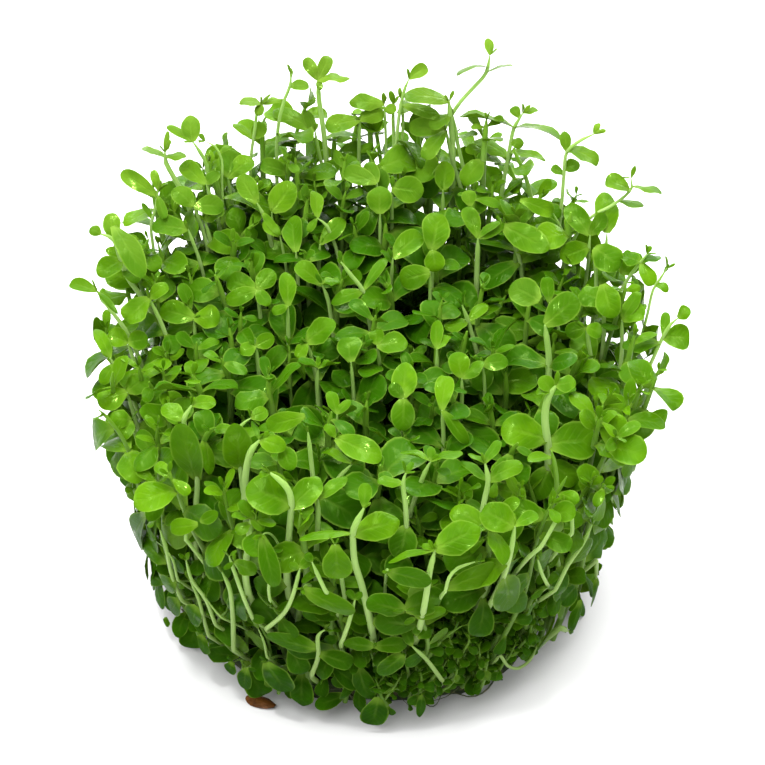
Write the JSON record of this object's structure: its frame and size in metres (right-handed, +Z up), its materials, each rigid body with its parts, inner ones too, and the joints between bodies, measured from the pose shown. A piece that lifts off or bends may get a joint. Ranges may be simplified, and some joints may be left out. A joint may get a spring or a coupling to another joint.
{
  "type": "monte carlo aquarium plant clump",
  "caption": "Cup-shaped clump of upright leafy shoots on a flat root mat, a low carpet plant for an aquarium, to set down or plant out.",
  "frame": {"origin": "centre of the clump's footprint, on the surface under the root mat", "axes": "+Z up along the shoots, -Y towards the front, where the shoots are shorter, +X to the right seen from the front"},
  "size_m": [0.0706, 0.062, 0.0575],
  "materials": {
    "fresh_shoot": "fresh green leaves and pale green stems, smooth with a soft wet gloss, light shows through",
    "root_mat": "matted pale roots with brown and green traces, damp and rough",
    "withered_leaf": "thin brown dead leaf, damp, satin"
  },
  "bodies": {
    "root": {"centre_shoot": "fresh_shoot", "inner_shoot_01": "fresh_shoot", "inner_shoot_02": "fresh_shoot", "inner_shoot_03": "fresh_shoot", "inner_shoot_04": "fresh_shoot", "inner_shoot_05": "fresh_shoot", "inner_shoot_06": "fresh_shoot", "middle_shoot_01": "fresh_shoot", "middle_shoot_02": "fresh_shoot", "middle_shoot_03": "fresh_shoot", "middle_shoot_04": "fresh_shoot", "middle_shoot_05": "fresh_shoot", "middle_shoot_06": "fresh_shoot", "middle_shoot_07": "fresh_shoot", "middle_shoot_08": "fresh_shoot", "middle_shoot_09": "fresh_shoot", "middle_shoot_10": "fresh_shoot", "middle_shoot_11": "fresh_shoot", "outer_shoot_01": "fresh_shoot", "outer_shoot_02": "fresh_shoot", "outer_shoot_03": "fresh_shoot", "outer_shoot_04": "fresh_shoot", "outer_shoot_05": "fresh_shoot", "outer_shoot_06": "fresh_shoot", "outer_shoot_07": "fresh_shoot", "outer_shoot_08": "fresh_shoot", "outer_shoot_09": "fresh_shoot", "outer_shoot_10": "fresh_shoot", "outer_shoot_11": "fresh_shoot", "outer_shoot_12": "fresh_shoot", "outer_shoot_13": "fresh_shoot", "outer_shoot_14": "fresh_shoot", "outer_shoot_15": "fresh_shoot", "outer_shoot_16": "fresh_shoot", "outer_shoot_17": "fresh_shoot", "rim_shoot_01": "fresh_shoot", "rim_shoot_02": "fresh_shoot", "rim_shoot_03": "fresh_shoot", "rim_shoot_04": "fresh_shoot", "rim_shoot_05": "fresh_shoot", "rim_shoot_06": "fresh_shoot", "rim_shoot_07": "fresh_shoot", "rim_shoot_08": "fresh_shoot", "rim_shoot_09": "fresh_shoot", "rim_shoot_10": "fresh_shoot", "rim_shoot_11": "fresh_shoot", "rim_shoot_12": "fresh_shoot", "rim_shoot_13": "fresh_shoot", "rim_shoot_14": "fresh_shoot", "rim_shoot_15": "fresh_shoot", "rim_shoot_16": "fresh_shoot", "rim_shoot_17": "fresh_shoot", "rim_shoot_18": "fresh_shoot", "rim_shoot_19": "fresh_shoot", "rim_shoot_20": "fresh_shoot", "rim_shoot_21": "fresh_shoot", "rim_shoot_22": "fresh_shoot", "root_mat": "root_mat", "withered_leaf": "withered_leaf"}
  },
  "joints": []
}
